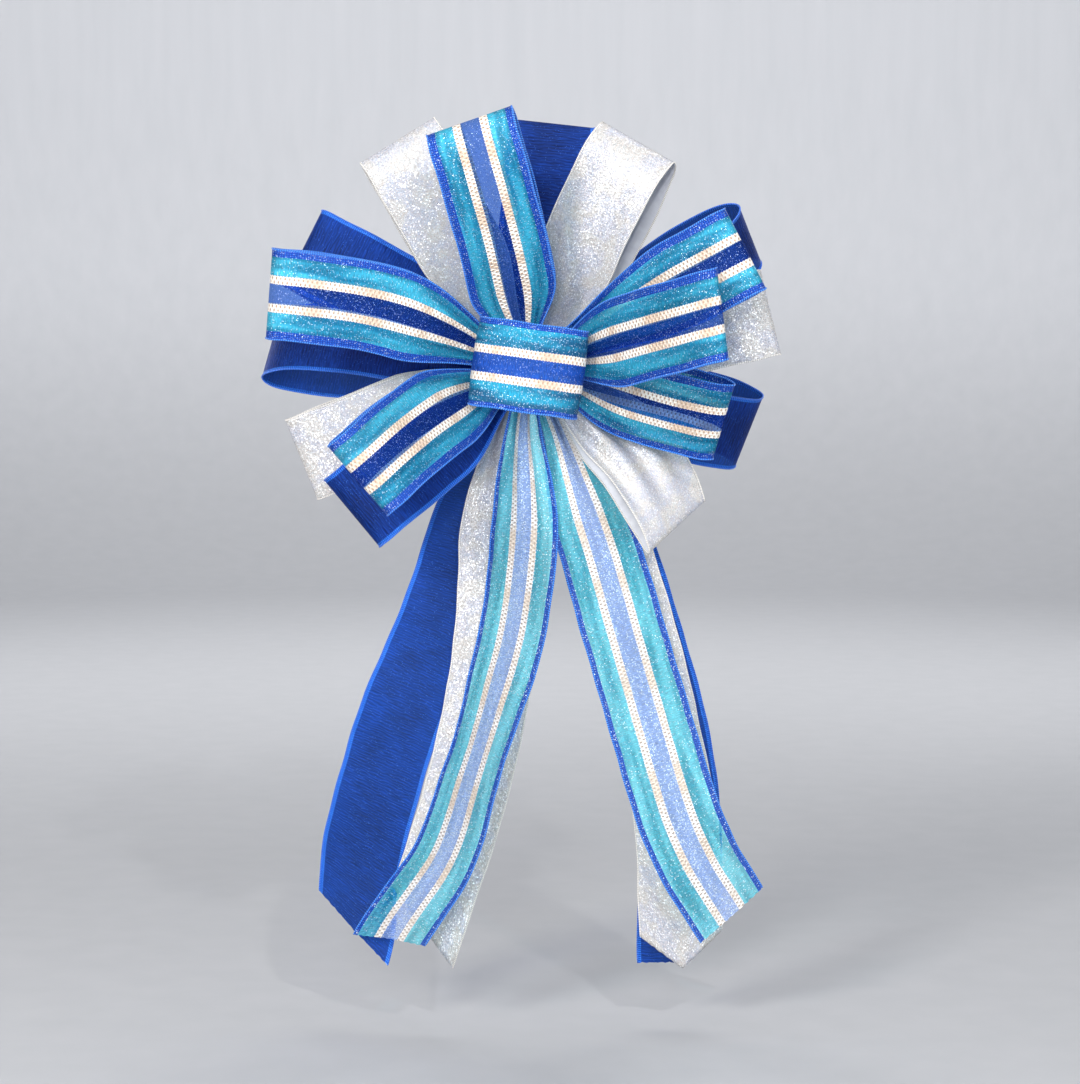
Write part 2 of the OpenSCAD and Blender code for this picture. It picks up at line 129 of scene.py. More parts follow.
def loop_grid(name, rows=161, cols=37):
    """Points of a loop's cloth, in mm: front layer from the tie out, round the fold and back."""
    aim, lift, roll, reach, belly, layer, more = LOOPS[name]
    aim, lift, roll = (math.radians(x) for x in (aim, lift, roll))
    skew, bend = more.get("skew", 0), more.get("bend", 0)
    spread, gather, root = more.get("spread", 0.5), more.get("gather", GATHER), more.get("root", LOOP_ROOT)
    f = phases(name, 12)
    centre = name == "centre_loop"
    bundle_r, steepest = 3.7, 0.3
    inner = 1.2 if centre else max(0.5, root - bundle_r / max(steepest, math.cos(lift)))

    a = np.linspace(0, 2 * np.pi, rows)[:, None]
    u = np.linspace(-1, 1, cols)[None, :]
    t = (1 - np.cos(a)) / 2
    length, k = reach - root, belly / 2 / OUTLINE_PEAK
    hs, hc = np.sin(a / 2), np.cos(a / 2)
    along_slope = length * np.sin(a) / 2
    across_slope = -k * (np.cos(a) * hs ** 2 + np.sin(a) * hs * hc) + PINCH_GAP / 4 * hs
    tiny = 1e-6
    slope = np.hypot(along_slope, across_slope) + tiny
    half = RIBBON_W / 2 * (gather + (1 - gather) * smooth(t / spread))

    # Cupping and slow waves, outward from the loop, and the gathers, which both layers share
    wave_size, cup_size, edge_size = 0.45, 0.9 if centre else 1.1, 0.14
    gather_depth, gather_growth = (0.45, 3) if centre else (0.75, 9)
    middle = smooth(t / 0.35)
    wave = wave_size * np.sin(3 * a + TURN * f[2]) * (0.35 + 0.65 * u * np.sin(2.2 * a + TURN * f[3]))
    cup = cup_size * (1 - u * u) * np.sin(np.pi * np.clip(t, 0, 1)) * (0.6 + 0.8 * f[4])
    rise = -(wave + cup) * middle
    if name in TIP_FOLDS:
        deep, count, place = TIP_FOLDS[name]
        fades = smooth(t / 0.2) * (1 - smooth((t - 0.5) / 0.5))
        rise = rise + deep * np.cos(2 * np.pi * (count * u + place)) * fades
    ease = 1 - t / (0.62 * spread + 0.16)
    gathers = (gather_depth + gather_growth * t) * pleats(u, ease, f)
    edge = edge_size * np.sin(9 * a + TURN * f[5] + 1.5 * u) * middle * u

    along = root + length * t - rise * across_slope / slope
    across = -k * np.sin(a) * hs ** 2 - PINCH_GAP / 2 * hc + rise * along_slope / slope + gathers
    w = u * (half - WIRE_R) + edge

    # The cloth goes on into the gathered bundle at both ends, and narrows there
    steps = 5
    inward = np.linspace(1, 0, steps + 1)[:-1][:, None]

    def both_ends(grid, shift=0.0, shrink=0.0):
        grid = np.broadcast_to(grid, (rows, cols))
        first, last = (end[None, :] * (1 - shrink * inward) - shift * inward for end in (grid[0], grid[-1]))
        return np.vstack([first, grid, last[::-1]])

    along, across, w = both_ends(along, shift=inner), both_ends(across, shrink=0.3), both_ends(w, shrink=0.35)
    end_rows = np.zeros((steps, 1))
    t_all = np.vstack([end_rows, t, end_rows])
    along = along + skew * w * t_all
    w = w + bend * np.sin(np.pi * t_all)
    turn = roll * smooth(t_all / spread)
    v = across * np.cos(turn) - w * np.sin(turn)
    w = across * np.sin(turn) + w * np.cos(turn)
    out = along * math.cos(lift) + v * math.sin(lift)
    y = v * math.cos(lift) - along * math.sin(lift) - layer * LAYER_PITCH
    x = out * math.cos(aim) - w * math.sin(aim)
    z = out * math.sin(aim) + w * math.cos(aim)
    return np.stack([x, y, z], axis=-1)


def curve_at(route, place):
    """Smooth curve through the stations of a route: place 0 is the first one, 1 the next, and so on."""
    last = len(route) - 1
    j = min(int(math.floor(place)), last - 1)
    r = place - j
    p1, p2 = route[j], route[j + 1]
    p0 = route[j - 1] if j > 0 else 2 * p1 - p2
    p3 = route[j + 2] if j + 2 <= last else 2 * p2 - p1
    return (2 * p1 + (p2 - p0) * r + (2 * p0 - 5 * p1 + 4 * p2 - p3) * r ** 2
            + (3 * p1 - p0 - 3 * p2 + p3) * r ** 3) / 2


def tail_grid(name, rows=171, cols=37):
    """Points of a tail's cloth, in mm, from the tie down to its cut end."""
    route, cut = TAILS[name]
    route = np.array(route, float)
    f = phases(name, 12)
    stations = np.array([curve_at(route, i / (rows - 1) * (len(route) - 1)) for i in range(rows)])
    points, turn = stations[:, :3], np.radians(stations[:, 3])[:, None]
    step = np.linalg.norm(np.diff(points, axis=0), axis=1)
    s = np.concatenate([[0], np.cumsum(step)])[:, None]
    total = s[-1, 0]
    tangent = np.gradient(points, axis=0)
    tangent /= np.linalg.norm(tangent, axis=1)[:, None]
    level = np.stack([-tangent[:, 2], 0 * tangent[:, 1], tangent[:, 0]], axis=-1)
    level /= np.linalg.norm(level, axis=1)[:, None]
    wide = level * np.cos(turn) + np.cross(tangent, level) * np.sin(turn)
    normal = np.cross(tangent, wide)
    half = RIBBON_W / 2 * (GATHER + (1 - GATHER) * smooth(s / TAIL_SPREAD))
    u = np.linspace(-1, 1, cols)[None, :]

    # Gathers at the tie, two slow waves with a little cupping below it, and a curl at the cut end
    open_by, curl_length, fray_length, cut_power = 60, 35, 3, 6
    long_wave, short_wave = 82 + 20 * f[2], 47 + 9 * f[4]
    ease = 1 - s / (0.95 * TAIL_SPREAD)
    gathers = (0.7 + 0.045 * s) * pleats(u, ease, f)
    open_part = smooth(s / open_by)
    wave = (1.0 * np.sin(2 * np.pi * s / long_wave + TURN * f[3]) * (0.45 + 0.55 * u)
            + 0.4 * np.sin(2 * np.pi * s / short_wave + TURN * f[5]) * (0.4 - 0.6 * u))
    cup = (1.6 * f[6] - 0.6) * (1 - u * u)
    curl = 1.2 * smooth((s - total + curl_length) / curl_length) * (u * (f[7] - 0.3) + 0.3)
    push = gathers + (wave + cup + curl) * open_part
    edge = 0.12 * np.sin(2 * np.pi * s / 23 + TURN * f[8] + u) * u * open_part
    w = u * (half - WIRE_R) + edge
    threads = np.sin(61 * u + 9 * f[9]) * np.sin(23 * u + 5 * f[10])
    frayed = 0.28 * threads * smooth((s - total + fray_length) / fray_length)
    cut_by = cut[1] + (np.where(u < 0, cut[0], cut[2]) - cut[1]) * np.abs(u)
    drop = cut_by * (s / total) ** cut_power + frayed
    grid = (points[:, None, :] + wide[:, None, :] * w[..., None] + normal[:, None, :] * push[..., None]
            + tangent[:, None, :] * drop[..., None])
    # The cloth goes on into the gathered bundle at the top
    up, reach_in, narrows = np.linspace(1, 0, 6)[:-1], 2.9, 0.35
    head = np.array([grid[0] + (points[0] - grid[0]) * narrows * e - tangent[0] * reach_in * e for e in up])
    return np.vstack([head, grid])


# ---------------------------------------------------------------- meshes

def add_mesh(name, verts, faces, uvs, materials, face_material=None):
    """A smooth mesh from vertices in mm. uvs has one pair for each corner of each face, in order."""
    mesh = bpy.data.meshes.new(name)
    mesh.from_pydata((np.asarray(verts) * MM).tolist(), [], [list(map(int, q)) for q in faces])
    layer = mesh.uv_layers.new(name="UVMap")
    layer.data.foreach_set("uv", np.asarray(uvs, np.float32).ravel())
    mesh.polygons.foreach_set("use_smooth", [True] * len(mesh.polygons))
    for m in materials:
        mesh.materials.append(m)
    if face_material is not None:
        mesh.polygons.foreach_set("material_index", np.asarray(face_material, np.int32))
    mesh.update()
    obj = bpy.data.objects.new(name, mesh)
    bpy.context.scene.collection.objects.link(obj)
    return obj


def grid_faces(rows, cols, first=0, flip=False):
    """The four-cornered faces of a grid of vertices that starts at number first."""
    i, j = np.meshgrid(np.arange(rows - 1), np.arange(cols - 1), indexing="ij")
    a = (first + i * cols + j).ravel()
    quads = np.stack([a, a + 1, a + cols + 1, a + cols], axis=-1)
    return quads[:, ::-1] if flip else quads


def cloth_lengths(grid):
    """Length along the middle of the ribbon at each row, in mm."""
    middle = grid[:, grid.shape[1] // 2]
    return np.concatenate([[0], np.cumsum(np.linalg.norm(np.diff(middle, axis=0), axis=1))])


def cloth_uv(grid):
    """u across the ribbon from 0 to 1, and v along it in ribbon widths."""
    rows, cols = grid.shape[:2]
    v = cloth_lengths(grid) / RIBBON_W
    return np.stack(np.broadcast_arrays(np.linspace(0, 1, cols)[None, :], v[:, None]), axis=-1).reshape(-1, 2)


def thin_sheet(name, grid, material):
    """A sheer cloth, with nothing between its two sides."""
    rows, cols = grid.shape[:2]
    faces = grid_faces(rows, cols)
    uv = cloth_uv(grid)
    return add_mesh(name, grid.reshape(-1, 3), faces, uv[faces.ravel()], [material])


def grid_normals(grid):
    """The direction out of the cloth at each point of a grid."""
    along = np.gradient(grid, axis=0)
    across = np.gradient(grid, axis=1)
    n = np.cross(along, across)
    return n / (np.linalg.norm(n, axis=-1, keepdims=True) + 1e-9)


def thick_sheet(name, grid, material, back):
    """A cloth with its own back: the front on one side, a plainer back on the other."""
    rows, cols = grid.shape[:2]
    n = grid_normals(grid) * CLOTH_T / 2
    count = rows * cols
    verts = np.vstack([(grid + n).reshape(-1, 3), (grid - n).reshape(-1, 3)])
    front = grid_faces(rows, cols)
    rear = grid_faces(rows, cols, count, flip=True)
    index = np.arange(count).reshape(rows, cols)
    ring = np.concatenate([index[0, :-1], index[:-1, -1], index[-1, :0:-1], index[:0:-1, 0]])
    nxt = np.roll(ring, -1)
    rim = np.stack([ring, ring + count, nxt + count, nxt], axis=-1)
    faces = np.vstack([front, rear, rim])
    uv = np.vstack([cloth_uv(grid)] * 2)
    which = [0] * len(front) + [1] * len(rear) + [0] * len(rim)
    return add_mesh(name, verts, faces, uv[faces.ravel()], [material, back], which)


def tube(name, path, radius, material, sides=8):
    """A closed round tube along a path of points in mm, rounded off at its ends.

    u runs round it and v along it in mm.
    """
    end_share = 0.55
    path = np.asarray(path, float)
    tangent = np.gradient(path, axis=0)
    tangent /= np.linalg.norm(tangent, axis=1)[:, None]
    side = np.cross(tangent[0], [0.3, 0.2, 1.0])
    side /= np.linalg.norm(side)
    sides_at = []
    for t in tangent:
        side = side - t * np.dot(side, t)
        side /= np.linalg.norm(side)
        sides_at.append(side.copy())
    side = np.array(sides_at)
    other = np.cross(tangent, side)
    angle = np.linspace(0, 2 * np.pi, sides, endpoint=False)
    r = np.full(len(path), float(radius))
    r[0] = r[-1] = radius * end_share
    ring = side[:, None] * np.cos(angle)[None, :, None] + other[:, None] * np.sin(angle)[None, :, None]
    verts = (path[:, None] + ring * r[:, None, None]).reshape(-1, 3)
    rows = len(path)
    i, j = np.meshgrid(np.arange(rows - 1), np.arange(sides), indexing="ij")
    a = (i * sides + j).ravel()
    b = (i * sides + (j + 1) % sides).ravel()
    faces = np.stack([a, b, b + sides, a + sides], axis=-1).tolist()
    s = np.concatenate([[0], np.cumsum(np.linalg.norm(np.diff(path, axis=0), axis=1))])
    uv = []
    for row, col in zip(i.ravel(), j.ravel()):
        for dr, dc in ((0, 0), (0, 1), (1, 1), (1, 0)):
            uv.append(((col + dc) / sides, s[row + dr]))
    faces.append(list(range(sides - 1, -1, -1)))
    faces.append(list(range((rows - 1) * sides, rows * sides)))
    uv += [(k / sides, s[0]) for k in range(sides)] + [(k / sides, s[-1]) for k in range(sides)]
    return add_mesh(name, verts, faces, uv, [material])


# ---------------------------------------------------------------- materials

class Shader:
    """A material whose Principled BSDF is fed by small pieces of arithmetic."""

    def __init__(self, name):
        self.mat = bpy.data.materials.new(name)
        self.mat.use_nodes = True
        self.nodes, self.links = self.mat.node_tree.nodes, self.mat.node_tree.links
        self.bsdf = self.nodes["Principled BSDF"]

    def node(self, kind, **settings):
        n = self.nodes.new(kind)
        for key, value in settings.items():
            setattr(n, key, value)
        return n

    def put(self, socket, value):
        if isinstance(value, bpy.types.NodeSocket):
            self.links.new(value, socket)
        elif socket.type == "VECTOR":
            socket.default_value = tuple(value)[:3]
        else:
            socket.default_value = value

    def set(self, **sockets):
        for key, value in sockets.items():
            self.put(self.bsdf.inputs[key.replace("_", " ")], value)

    def veil(self, cover, tint):
        """Lets what is behind show through, tinted, where the cloth's threads don't cover it."""
        clear = self.node("ShaderNodeBsdfTransparent")
        self.put(clear.inputs["Color"], tint)
        both = self.node("ShaderNodeMixShader")
        self.put(both.inputs[0], cover)
        self.links.new(clear.outputs[0], both.inputs[1])
        self.links.new(self.bsdf.outputs[0], both.inputs[2])
        self.links.new(both.outputs[0], self.nodes["Material Output"].inputs["Surface"])

    def math(self, operation, *values, clamp=False):
        n = self.node("ShaderNodeMath", operation=operation, use_clamp=clamp)
        for socket, value in zip(n.inputs, values):
            self.put(socket, value)
        return n.outputs[0]

    def add(self, a, b): return self.math("ADD", a, b)
    def sub(self, a, b): return self.math("SUBTRACT", a, b)
    def mul(self, a, b): return self.math("MULTIPLY", a, b)

    def mix_value(self, share, a, b):
        """a where the share is 0 and b where it is 1."""
        return self.add(self.mul(share, b - a), a)

    def step(self, x, low, high, a=0.0, b=1.0):
        """a where x is under low, b where it is over high, and smooth between."""
        n = self.node("ShaderNodeMapRange", interpolation_type="SMOOTHSTEP")
        for socket, value in zip(n.inputs, (x, low, high, a, b)):
            self.put(socket, value)
        return n.outputs[0]

    def mix(self, share, a, b):
        n = self.node("ShaderNodeMix", data_type="RGBA")
        for i, value in ((0, share), (6, a), (7, b)):
            self.put(n.inputs[i], value)
        return n.outputs[2]

    def tint(self, colour, amount):
        """The colour times a number."""
        n = self.node("ShaderNodeVectorMath", operation="SCALE")
        self.put(n.inputs[0], colour)
        self.put(n.inputs["Scale"], amount)
        return n.outputs[0]

    def split(self, vector):
        n = self.node("ShaderNodeSeparateXYZ")
        self.put(n.inputs[0], vector)
        return n.outputs[0], n.outputs[1], n.outputs[2]

    def join(self, x, y, z=0.0):
        n = self.node("ShaderNodeCombineXYZ")
        for socket, value in zip(n.inputs, (x, y, z)):
            self.put(socket, value)
        return n.outputs[0]

    def uv(self, scale_u, scale_v):
        """The two places on the cloth, in mm when the scales are the cloth's width."""
        u, v, _ = self.split(self.node("ShaderNodeUVMap", uv_map="UVMap").outputs[0])
        return self.mul(u, scale_u), self.mul(v, scale_v)

    def noise(self, x, y, detail=2.0, rough=0.5):
        n = self.node("ShaderNodeTexNoise", noise_dimensions="2D")
        self.put(n.inputs["Vector"], self.join(x, y))
        n.inputs["Scale"].default_value = 1.0
        n.inputs["Detail"].default_value = detail
        n.inputs["Roughness"].default_value = rough
        return n.outputs[0]

    def cells(self, x, y):
        """Distance from the middle of a cell, and three random numbers that go with it."""
        n = self.node("ShaderNodeTexVoronoi", voronoi_dimensions="2D", feature="F1")
        self.put(n.inputs["Vector"], self.join(x, y))
        n.inputs["Scale"].default_value = 1.0
        n.inputs["Randomness"].default_value = 1.0
        return n.outputs["Distance"], n.outputs["Color"]

    def wave(self, x, pitch):
        """A wave between -1 and 1 with that pitch."""
        return self.math("SINE", self.mul(x, 2 * math.pi / pitch))

    def bump(self, height, distance, normal=None):
        n = self.node("ShaderNodeBump")
        n.inputs["Strength"].default_value = 1.0
        n.inputs["Distance"].default_value = distance
        self.put(n.inputs["Height"], height)
        if normal is not None:
            self.put(n.inputs["Normal"], normal)
        return n.outputs[0]

    def scatter_normal(self, colour, amount):
        """The surface's normal, tipped at random from cell to cell, as glitter is."""
        geometry = self.node("ShaderNodeNewGeometry").outputs["Normal"]
        centred = self.node("ShaderNodeVectorMath", operation="SUBTRACT")
        self.put(centred.inputs[0], colour)
        centred.inputs[1].default_value = (0.5, 0.5, 0.5)
        scaled = self.tint(centred.outputs[0], amount)
        total = self.node("ShaderNodeVectorMath", operation="ADD")
        self.put(total.inputs[0], geometry)
        self.put(total.inputs[1], scaled)
        unit = self.node("ShaderNodeVectorMath", operation="NORMALIZE")
        self.put(unit.inputs[0], total.outputs[0])
        return unit.outputs[0]


def rgb(r, g, b):
    """A colour given from 0 to 255 as it looks on a screen, in the linear form that shaders use."""
    def linear(c):
        c /= 255
        return c / 12.92 if c <= 0.04045 else ((c + 0.055) / 1.055) ** 2.4
    return (linear(r), linear(g), linear(b), 1.0)


# Places across the striped ribbon, in mm from its middle line, each from where a change starts to where
# it is complete: the knit stripe's inner and outer edge, and the inner edge of the teal
KNIT_INNER, KNIT_OUTER, TEAL_INNER = (4.05, 4.3), (7.65, 7.9), (7.6, 8.0)
KNIT_MIDDLE = 5.95
# The middle line of the stripes, as a share of the width
STRIPES_AT = 0.495
# Depth in metres of the relief that bump stands for in a woven cloth, and in a wound thread
WEAVE_RELIEF, THREAD_RELIEF = 0.00014, 0.0001


def striped_cloth(name, covers, tints, teals, knits, glints, flakes, blue=rgb(18, 80, 180), clusters=0.0,
                  band_start=15.6, metal=0.3):
    """Semi-sheer ribbon: blue wired bands, teal satin, metallic knit stripes and a sheer blue middle.

    covers, tints and glints each give a value for the middle and one for the teal: how much the threads
    cover, the tint of what shows through, and how strongly the flakes are painted as glints. The cloth is
    drawn together in the loops and hangs open in the tails, so covers and tints differ there; glints are
    stronger on the tails' copy, as painted light, and weaker on the centre's, as painted shade. teals are
    the teal in painted shade and the teal in painted sheen. knits are the knit's thread, its holes in
    painted shade and its golden stretches, a painted shade away from the knit's painted sheen. flakes is
    the number of flakes in a millimetre, and clusters is how many more of the middle's flakes are painted
    as glints in patches. blue is the middle's colour, painted lighter on the tails' copy, band_start is
    where the blue band starts, in mm from the middle, and metal is added to the metallic share beside the
    knit.
    """
    s = Shader(name)
    x, y = s.uv(RIBBON_W, RIBBON_W)
    off = s.math("ABSOLUTE", s.sub(x, RIBBON_W * STRIPES_AT))
    serrated = s.add(off, s.mul(s.wave(y, 1.3), 0.16))
    is_teal = s.step(off, *TEAL_INNER)
    is_knit = s.mul(s.step(serrated, *KNIT_INNER), s.step(serrated, *KNIT_OUTER, 1.0, 0.0))
    is_band = s.step(off, band_start, band_start + 0.2)

    # Fine threads across the ribbon, long streaks of painted satin sheen and shade that also mix the teal
    # between its shaded and its lit copy, the knit's painted sheen with golden painted shade away from it,
    # and the knit's holes
    weft = s.noise(s.mul(x, 0.35), s.mul(y, 3.2), 1.0)
    patch = s.noise(s.mul(x, 0.24), s.mul(y, 0.028), 2.5)
    knit_painted_sheen = s.noise(s.mul(y, 0.06), s.mul(off, 0.02), 2.0)
    lattice = s.mul(s.wave(s.sub(off, KNIT_MIDDLE), 3.4), s.wave(y, 1.9))
    stitch = s.mul(s.wave(s.add(off, s.mul(y, 0.8)), 1.7), s.wave(s.sub(off, s.mul(y, 0.8)), 1.7))
    weave = s.mul(s.wave(x, 0.5), s.wave(y, 0.5))
    shade = s.add(s.add(s.mul(weft, 1.0), s.mul(patch, 0.5)), 0.2)

    middle = s.tint(blue, shade)
    # The teal is painted darker in the streaks' shade and lighter in their sheen
    teal = s.mix(s.step(patch, 0.3, 0.68), *teals)
    teal = s.tint(teal, shade)
    # The knit's holes get the second knit colour, a painted shade in them
    knit = s.mix(s.step(lattice, 0.25, 0.65), knits[0], knits[1])
    knit = s.mix(s.step(stitch, -0.9, -0.2, 0.35, 0.0), knit, rgb(214, 196, 176))
    # Away from its painted sheen the knit is painted golden, a painted shade
    knit = s.mix(s.step(knit_painted_sheen, 0.38, 0.6, 0.7, 0.0), knit, knits[2])
    band = s.mix(s.step(stitch, 0.3, 0.8), rgb(6, 56, 158), rgb(40, 118, 222))
    colour = s.mix(is_teal, middle, teal)
    colour = s.mix(is_knit, colour, knit)
    colour = s.mix(is_band, colour, band)

    # Glitter flakes, one in a cell; those that shine are painted glints, near-white in the base colour,
    # which are also opaque, more metallic and smoother
    distance, rand = s.cells(s.mul(x, flakes), s.mul(y, flakes))
    r, g, _ = s.split(rand)
    cluster = s.mul(s.sub(1.0, is_teal), s.step(patch, 0.38, 0.54, 0.0, clusters))
    flake_and_painted_glint = s.mul(s.step(s.add(r, cluster), 0.78, 0.86), s.step(distance, 0.32, 0.5, 1.0, 0.0))
    flake_and_painted_glint = s.mul(flake_and_painted_glint, s.mul(s.sub(1.0, is_knit), s.step(g, 0.0, 1.0, 0.1, 1.0)))
    colour = s.mix(s.mul(flake_and_painted_glint, s.mix_value(is_teal, *glints)), colour, rgb(230, 246, 255))

    sheer = s.add(s.step(off, *TEAL_INNER, *covers), s.mul(s.sub(weft, 0.5), 0.3))
    solid = s.math("MAXIMUM", s.math("MAXIMUM", is_knit, s.mul(is_band, 0.95)), flake_and_painted_glint)
    cover = s.math("MAXIMUM", s.add(sheer, s.mul(weave, 0.08)), solid, clamp=True)
    s.veil(cover, s.mix(is_teal, *tints))

    stitches = s.mul(stitch, s.add(s.mul(is_knit, 0.6), s.mul(is_band, 0.6)))
    holes = s.mul(s.mul(lattice, is_knit), 1.2)
    height = s.add(s.sub(stitches, holes), s.add(s.mul(weft, 0.8), s.mul(weave, 0.2)))
    normal = s.bump(height, WEAVE_RELIEF, s.scatter_normal(rand, 0.22))
    s.set(Base_Color=colour, Normal=normal,
          Metallic=s.add(s.mul(s.sub(1.0, is_knit), metal), s.add(0.25, s.mul(flake_and_painted_glint, 0.3))),
          Roughness=s.sub(s.sub(0.42, s.mul(is_knit, 0.06)), s.mul(flake_and_painted_glint, 0.15)))
    return s.mat


def blue_cloth():
    """Sheer organza: deep blue threads that let the background through, with a brighter woven edge."""
    s = Shader("blue_ribbon_cloth")
    x, y = s.uv(RIBBON_W, RIBBON_W)
    off = s.math("ABSOLUTE", s.sub(x, RIBBON_W * 0.5))
    is_band = s.step(off, 17.1, 17.5)
    weft = s.noise(s.mul(x, 0.16), s.mul(y, 2.6), 1.5)
    patch = s.noise(s.mul(x, 0.07), s.mul(y, 0.09), 2.0)
    weave = s.mul(s.wave(s.add(x, s.mul(patch, 1.2)), 0.5), s.wave(y, 0.5))
    drift = s.noise(s.mul(x, 0.2), s.mul(y, 0.3), 2.0)
    rib = s.wave(s.add(y, s.mul(drift, 2.0)), 1.3)
    shade = s.add(s.add(s.mul(weft, 1.3), s.mul(patch, 1.0)), s.add(s.mul(rib, 0.3), -0.12))
    body = s.tint(rgb(7, 52, 132), s.add(shade, s.step(off, 5.0, 17.0, 0.0, 0.35)))
    band = s.mix(s.step(s.wave(y, 0.9), -0.2, 0.6), rgb(10, 70, 184), rgb(56, 136, 236))
    colour = s.mix(is_band, body, band)
    # Sparse flakes painted as glints: lighter blue in the base colour, and opaque
    distance, rand = s.cells(s.mul(x, 2.2), s.mul(y, 2.2))
    r, _, _ = s.split(rand)
    flake_and_painted_glint = s.mul(s.step(r, 0.955, 0.975), s.step(distance, 0.26, 0.4, 1.0, 0.0))
    colour = s.mix(s.mul(flake_and_painted_glint, 0.4), colour, rgb(90, 150, 240))
    cover = s.add(s.add(0.66, s.mul(weave, 0.08)), s.mul(s.sub(weft, 0.5), 0.5))
    solid = s.math("MAXIMUM", s.mul(is_band, 0.95), flake_and_painted_glint)
    s.veil(s.math("MAXIMUM", cover, solid, clamp=True), rgb(50, 94, 178))
    height = s.add(s.add(s.mul(weft, 0.7), s.mul(rib, 0.3)), s.mul(weave, 0.25))
    normal = s.bump(height, WEAVE_RELIEF, s.scatter_normal(rand, 0.1))
    s.set(Base_Color=colour, Normal=normal, Metallic=0.6, Roughness=s.step(weft, 0.3, 0.7, 0.32, 0.5))
    return s.mat


def white_cloth():
    """Iridescent glitter: small flakes that each tip a little their own way."""
    s = Shader("white_ribbon_cloth")
    x, y = s.uv(RIBBON_W, RIBBON_W)
    distance, rand = s.cells(s.mul(x, 2.4), s.mul(y, 2.4))
    r, g, b = s.split(rand)
    patch = s.noise(s.mul(x, 0.12), s.mul(y, 0.12), 2.0)
    cool = s.mix(s.step(g, 0.2, 0.8), rgb(222, 230, 246), rgb(246, 240, 246))
    warm = s.mix(s.step(b, 0.3, 0.9), rgb(250, 242, 236), rgb(240, 244, 244))
    flake = s.mix(s.step(patch, 0.4, 0.62), cool, warm)
    colour = s.tint(flake, s.add(0.44, s.mul(r, 0.28)))
    gap = s.step(distance, 0.42, 0.72)
    colour = s.mix(s.mul(gap, 0.3), colour, rgb(150, 154, 164))
    # Some flakes are painted as glints: near-white in the base colour, and more metallic
    flake_and_painted_glint = s.step(b, 0.88, 0.94)
    colour = s.mix(s.mul(flake_and_painted_glint, 0.8), colour, rgb(255, 255, 255))
    normal = s.bump(s.add(s.mul(r, 0.6), s.mul(gap, -0.4)), 0.00005, s.scatter_normal(rand, 0.36))
    s.set(Base_Color=colour, Normal=normal, Metallic=s.add(s.mul(flake_and_painted_glint, 0.45), 0.08),
          Roughness=s.step(g, 0.0, 1.0, 0.26, 0.5), Coat_Weight=0.12, Coat_Roughness=0.25)
    return s.mat


def white_back():
    """The smooth side of the glitter ribbon: a plain pale weave."""
    s = Shader("white_ribbon_back")
    x, y = s.uv(RIBBON_W, RIBBON_W)
    weave = s.mul(s.wave(x, 0.6), s.wave(y, 0.6))
    patch = s.noise(s.mul(x, 0.1), s.mul(y, 0.3), 2.0)
    share = s.step(s.add(s.mul(weave, 0.3), patch), 0.1, 0.95)
    colour = s.mix(share, rgb(204, 206, 213), rgb(222, 224, 230))
    s.set(Base_Color=colour, Normal=s.bump(weave, 0.00004), Roughness=0.45, Sheen_Weight=0.15)
    return s.mat


def wrapped_wire(name, low, high, pitch, rough):
    """Thread wound round a wire, which makes fine slanting ridges that are pitch mm apart."""
    s = Shader(name)
    x, y = s.uv(1.0, 1.0)
    ridge = s.wave(s.add(y, s.mul(x, pitch)), pitch)
    fleck = s.noise(s.mul(y, 1.7), s.mul(x, 3.0), 2.0)
    colour = s.mix(s.step(s.add(ridge, fleck), -0.4, 1.3), low, high)
    s.set(Base_Color=colour, Normal=s.bump(ridge, THREAD_RELIEF), Roughness=rough, Metallic=0.0,
          Sheen_Weight=0.1)
    return s.mat


def wire_on_cad():
    """The tie wire's wound cover, from the place in space, since the CAD part has no cloth coordinates."""
    s = Shader("tie_wire_cover")
    place = s.node("ShaderNodeTexCoord").outputs["Object"]
    px, py, pz = s.split(place)
    run = s.mul(s.add(s.add(px, py), pz), 1 / MM)
    ridge = s.wave(run, TIE_WIRE_PITCH)
    fleck = s.noise(s.mul(run, 0.8), s.mul(px, 700.0), 2.0)
    colour = s.mix(s.step(s.add(ridge, fleck), -0.4, 1.3), *TIE_WIRE_GREENS)
    s.set(Base_Color=colour, Normal=s.bump(ridge, THREAD_RELIEF), Roughness=0.6, Sheen_Weight=0.2)
    return s.mat


TIE_WIRE_GREENS = (rgb(20, 62, 38), rgb(52, 110, 74))
TIE_WIRE_PITCH = 0.55
